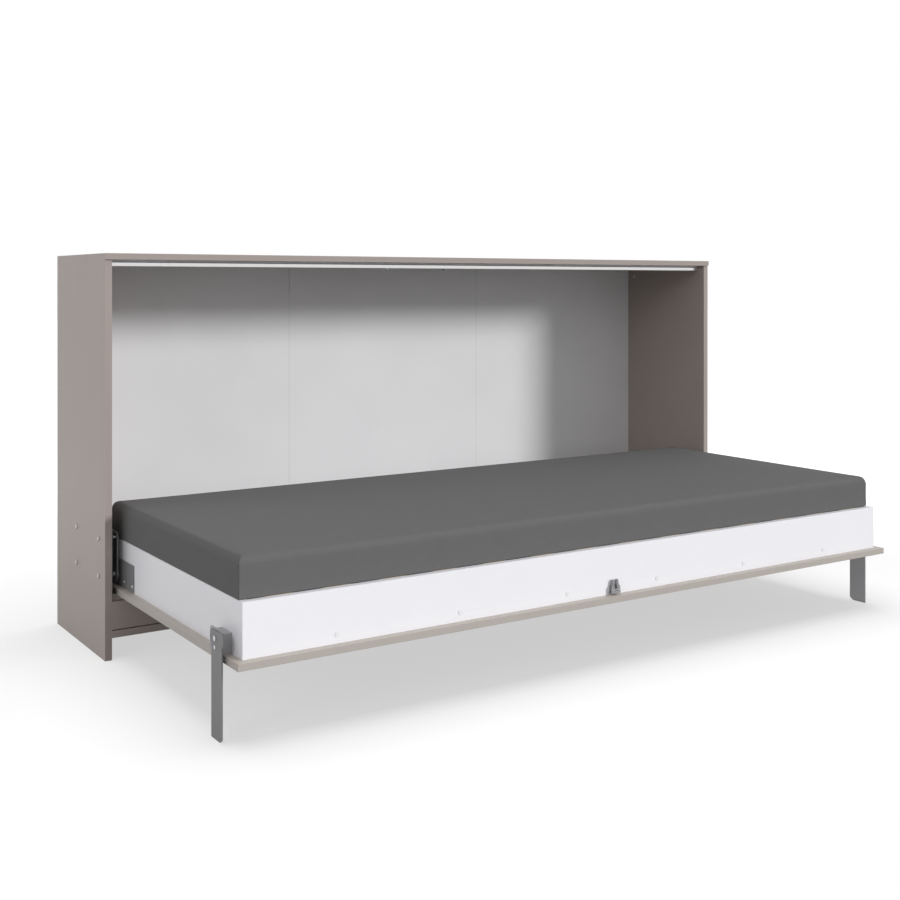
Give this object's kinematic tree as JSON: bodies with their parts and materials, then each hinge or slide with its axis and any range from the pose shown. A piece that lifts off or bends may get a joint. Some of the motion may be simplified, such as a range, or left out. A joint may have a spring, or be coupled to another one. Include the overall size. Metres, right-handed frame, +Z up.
{
  "type": "murphy wall bed",
  "caption": "Horizontal fold-down wall bed: shallow open cabinet with a hinged bed, slatted base, mattress, sprung pivots, swing legs and a centre catch.",
  "frame": {"origin": "on the floor, in the middle of the open bed's footprint", "axes": "+X along the bed to the right, +Y from the bed's free edge to the wall, +Z up"},
  "size_m": [2.1176, 1.1734, 1.0339],
  "materials": {
    "taupe_board": "satin",
    "white_board": "satin",
    "white_plastic": "satin",
    "white_steel": "satin",
    "softwood": "matte",
    "birch_slat": "satin",
    "black_steel": "satin",
    "grey_steel": "satin",
    "zinc_steel": "satin",
    "aluminium": "satin",
    "spring_steel": "satin",
    "bronze": "satin",
    "dark_plastic": "matte",
    "catch_steel": "satin",
    "mattress_cover": "matte"
  },
  "bodies": {
    "cabinet": {"left_side_panel": "taupe_board", "right_side_panel": "taupe_board", "top_panel": "taupe_board", "bottom_shelf": "taupe_board", "lower_front_board": "taupe_board", "stop_rail": "aluminium", "stop_batten": "white_board", "fixing_rail": "softwood", "back_panel_left": "white_board", "back_panel_centre": "white_board", "back_panel_right": "white_board", "back_joint_strips": "white_plastic", "wall_bracket": "white_steel", "wall_bracket_screws": "zinc_steel", "cam_locks": "zinc_steel", "cam_bolts": "zinc_steel", "panel_dowels": "softwood", "left_hinge_tray": "black_steel", "right_hinge_tray": "black_steel", "hinge_bolts": "zinc_steel", "left_pivot_pin": "zinc_steel", "right_pivot_pin": "zinc_steel", "spring_anchors": "zinc_steel", "left_lifting_spring": "spring_steel", "right_lifting_spring": "spring_steel", "catch_keeper": "catch_steel"},
    "bed": {"door_panel": "taupe_board", "front_rail": "white_board", "rear_rail": "white_board", "left_end_board": "white_board", "right_end_board": "white_board", "corner_blocks": "softwood", "door_cleats": "softwood", "slat_ledgers": "softwood", "cross_bearers": "softwood", "slats": "birch_slat", "mattress": "mattress_cover", "rail_screw_caps": "white_plastic", "left_bed_plate": "grey_steel", "right_bed_plate": "grey_steel", "bed_plate_screws": "zinc_steel", "left_lever": "grey_steel", "right_lever": "grey_steel", "pivot_bushes": "bronze", "lever_studs": "zinc_steel", "left_leg_bracket": "grey_steel", "right_leg_bracket": "grey_steel", "leg_bracket_screws": "zinc_steel", "catch_body": "catch_steel", "catch_pins": "zinc_steel", "catch_spring": "zinc_steel"},
    "left_leg": {"left_leg": "grey_steel", "left_leg_rivets": "zinc_steel", "left_leg_foot": "dark_plastic"},
    "right_leg": {"right_leg": "grey_steel", "right_leg_rivets": "zinc_steel", "right_leg_foot": "dark_plastic"},
    "left_jaw": {"left_catch_jaw": "catch_steel"},
    "right_jaw": {"right_catch_jaw": "catch_steel"}
  },
  "joints": [
    {"name": "bed_fold", "type": "hinge", "parent": "cabinet", "child": "bed", "pos_m": [0, 0.2167, 0.2065], "axis": [-1, 0, 0], "range_deg": [0, 90], "deforming": ["left_lifting_spring", "right_lifting_spring"]},
    {"name": "left_leg_swing", "type": "hinge", "parent": "bed", "child": "left_leg", "pos_m": [-1.0308, -0.4933, 0.212], "axis": [1, 0, 0], "range_deg": [0, 90]},
    {"name": "right_leg_swing", "type": "hinge", "parent": "bed", "child": "right_leg", "pos_m": [1.0308, -0.4933, 0.212], "axis": [1, 0, 0], "range_deg": [0, 90]},
    {"name": "left_jaw_swing", "type": "hinge", "parent": "bed", "child": "left_jaw", "pos_m": [-0.009, -0.5703, 0.191], "axis": [0, -1, 0], "range_deg": [0, 12], "stiffness_Nm_per_rad": 0.1, "deforming": ["catch_spring"]},
    {"name": "right_jaw_swing", "type": "hinge", "parent": "bed", "child": "right_jaw", "pos_m": [0.009, -0.5703, 0.191], "axis": [0, 1, 0], "range_deg": [0, 12]}
  ],
  "couplings": [
    {"joint": "right_jaw_swing", "follows": "left_jaw_swing", "ratio": 1}
  ]
}
